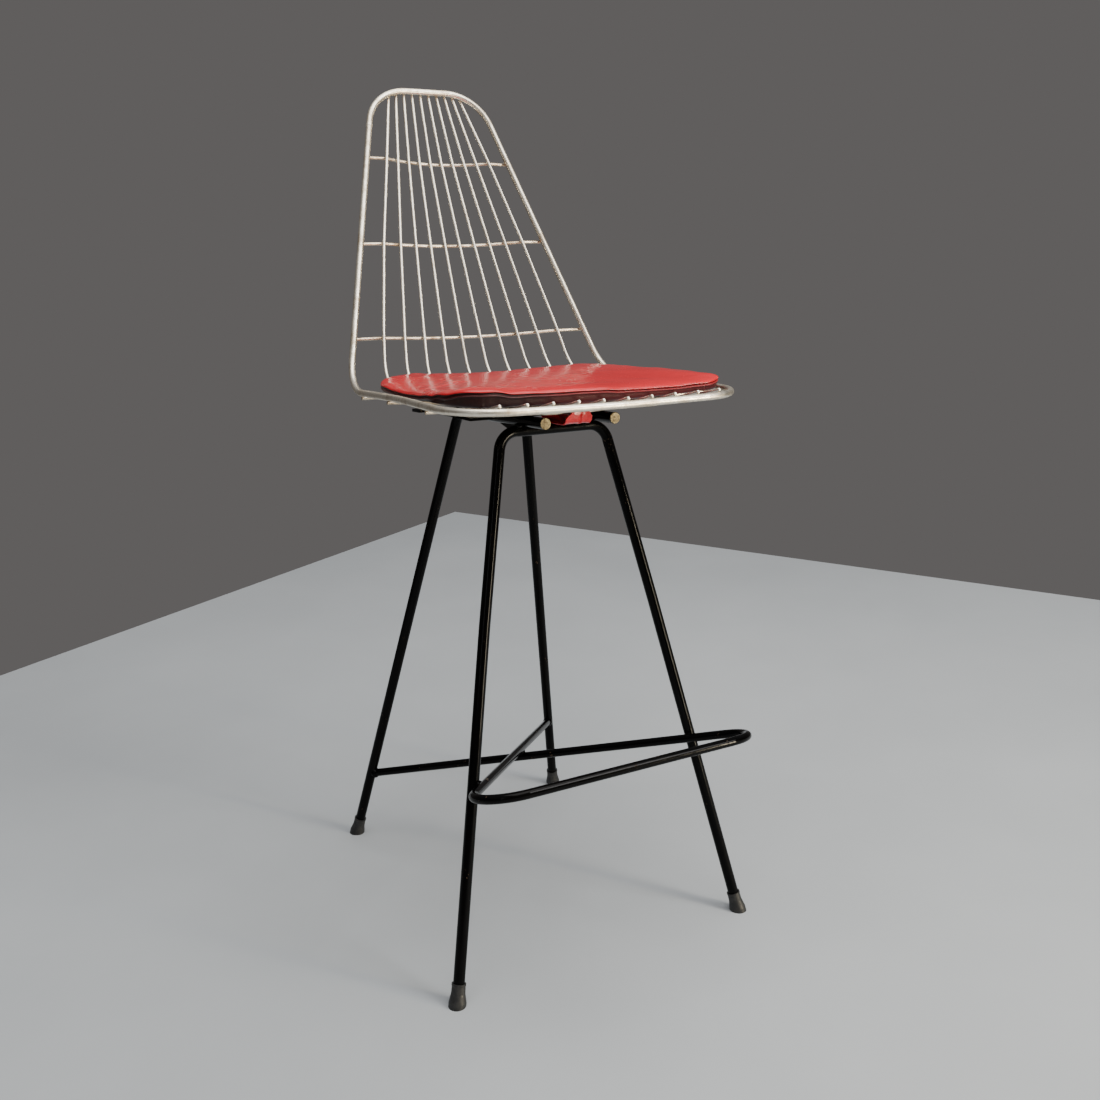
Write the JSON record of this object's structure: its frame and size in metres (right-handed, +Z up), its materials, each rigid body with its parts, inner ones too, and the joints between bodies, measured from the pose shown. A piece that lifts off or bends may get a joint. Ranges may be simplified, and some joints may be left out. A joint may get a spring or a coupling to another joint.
{
  "type": "bar stool",
  "caption": "Tall wire-shell bar stool with a bent-tube base, a triangular bent-rod footrest and a thin strapped-on seat cushion.",
  "frame": {"origin": "on the floor, under the middle of the stool's overall box", "axes": "+Z up; the sitter faces -Y; +X is the sitter's left, the right-hand side seen from the front"},
  "size_m": [0.4948, 0.6856, 1.2544],
  "materials": {
    "base_paint": "worn gloss black paint",
    "shell_steel": "dull satin nickel plate, slightly warm",
    "plug_brass": "dull, slightly textured",
    "foot_rubber": "matt black",
    "red_vinyl": "smooth gloss red vinyl",
    "cushion_foam": "open-cell foam",
    "press_stud": "bright"
  },
  "bodies": {
    "root": {"back_cross_wire_bottom": "shell_steel", "back_cross_wire_middle": "shell_steel", "back_cross_wire_top": "shell_steel", "cushion_bottom_cover": "red_vinyl", "cushion_core": "cushion_foam", "cushion_strap": "red_vinyl", "cushion_top_cover": "red_vinyl", "foot_cap_front_left": "foot_rubber", "foot_cap_front_right": "foot_rubber", "foot_cap_rear_left": "foot_rubber", "foot_cap_rear_right": "foot_rubber", "footrest_rod": "base_paint", "footrest_welds": "base_paint", "front_cross_strap": "base_paint", "front_leg_frame": "base_paint", "rail_gusset_left": "base_paint", "rail_gusset_right": "base_paint", "rail_plug_left": "plug_brass", "rail_plug_right": "plug_brass", "rail_welds": "base_paint", "rear_cross_strap": "base_paint", "rear_leg_left": "base_paint", "rear_leg_right": "base_paint", "rim_weld": "shell_steel", "seat_cross_wire_front": "shell_steel", "seat_cross_wire_middle": "shell_steel", "seat_cross_wire_rear": "shell_steel", "seat_rim": "shell_steel", "shell_wire_01": "shell_steel", "shell_wire_02": "shell_steel", "shell_wire_03": "shell_steel", "shell_wire_04": "shell_steel", "shell_wire_05": "shell_steel", "shell_wire_06": "shell_steel", "shell_wire_07": "shell_steel", "shell_wire_08": "shell_steel", "shell_wire_09": "shell_steel", "shell_wire_10": "shell_steel", "strap_press_stud": "press_stud"}
  },
  "joints": []
}
